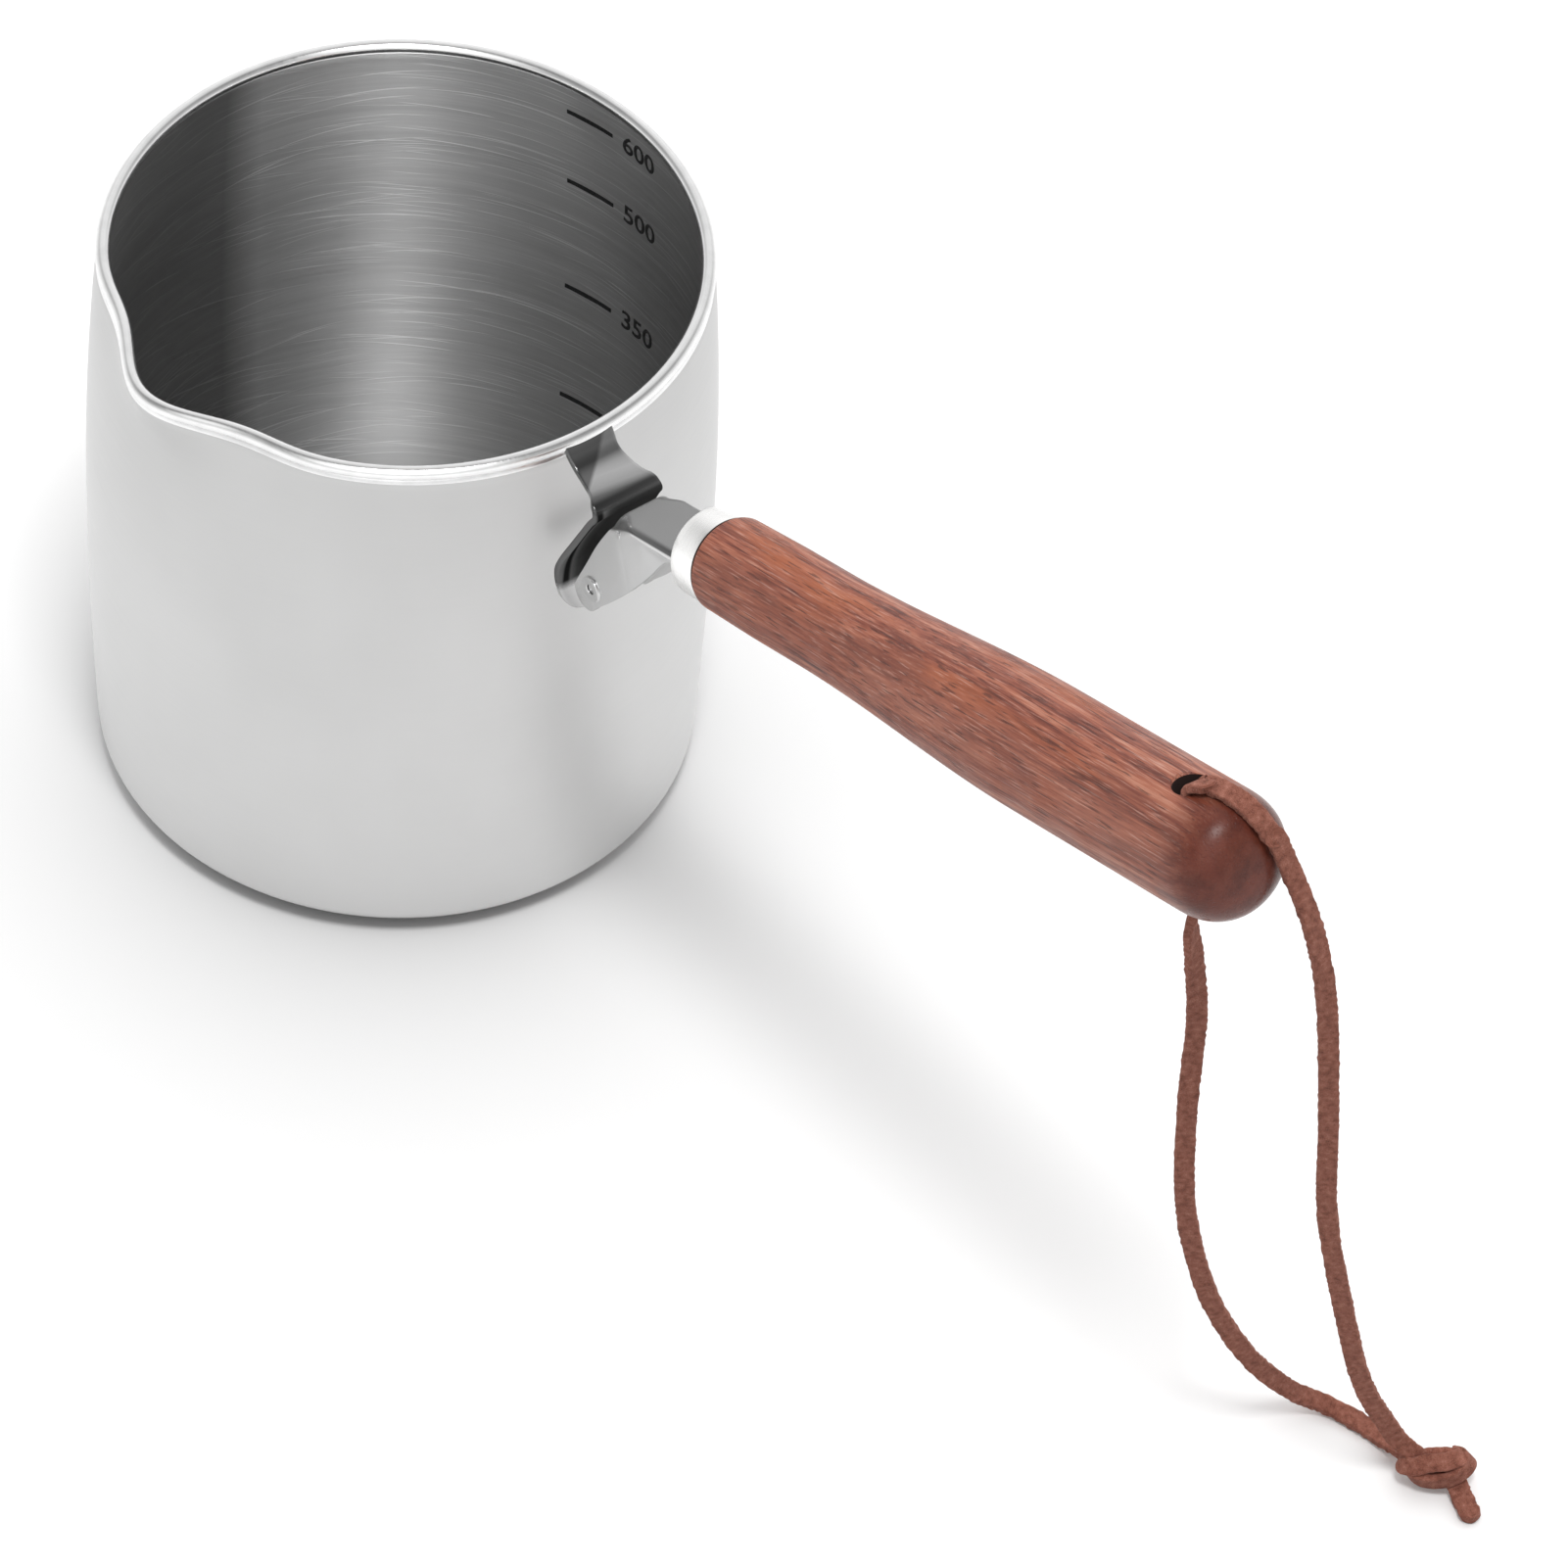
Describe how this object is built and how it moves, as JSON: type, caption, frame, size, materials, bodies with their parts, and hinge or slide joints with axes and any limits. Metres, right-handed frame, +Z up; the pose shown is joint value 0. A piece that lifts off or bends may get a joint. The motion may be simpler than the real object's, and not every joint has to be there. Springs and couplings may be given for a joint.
{
  "type": "turkish coffee pot cezve",
  "caption": "Small open steel coffee pot with a pouring lip, a wooden handle that folds down on a riveted bracket, and a knotted leather hanging lace",
  "frame": {"origin": "centre of the pot's flat base, on the ground", "axes": "+Z up, +X from the pot towards the end of the handle, pouring lip towards -Y"},
  "size_m": [0.2618, 0.0949, 0.1492],
  "materials": {
    "pot_steel": "fine brushed outside, turned scratches inside",
    "bracket_steel": "polished sheet",
    "tang_steel": "satin sheet",
    "rivet_steel": "polished",
    "ferrule_steel": "satin turned",
    "fixing_steel": "plain",
    "insert_brass": "plain turned",
    "grip_wood": "oiled reddish brown hardwood",
    "lace_leather": "rough cut brown leather"
  },
  "bodies": {
    "pot": {"pot_body": "pot_steel", "hinge_bracket": "bracket_steel", "hinge_rivet": "rivet_steel"},
    "handle": {"tang_channel": "tang_steel", "stop_pin": "rivet_steel", "ferrule": "ferrule_steel", "tang_stud": "fixing_steel", "threaded_insert": "insert_brass", "handle_grip": "grip_wood", "lace_saddle": "lace_leather"},
    "lace": {"lace_front_strand": "lace_leather", "lace_rear_strand": "lace_leather", "lace_knot": "lace_leather"}
  },
  "joints": [
    {"name": "handle_fold", "type": "hinge", "parent": "pot", "child": "handle", "pos_m": [0.0536, 0, 0.0772], "axis": [0, 1, 0], "range_deg": [0, 108]},
    {"name": "lace_swing", "type": "hinge", "parent": "handle", "child": "lace", "pos_m": [0.1818, 0, 0.1255], "axis": [0.4266, 0.2123, 0.8792], "range_deg": [-25, 25]}
  ]
}
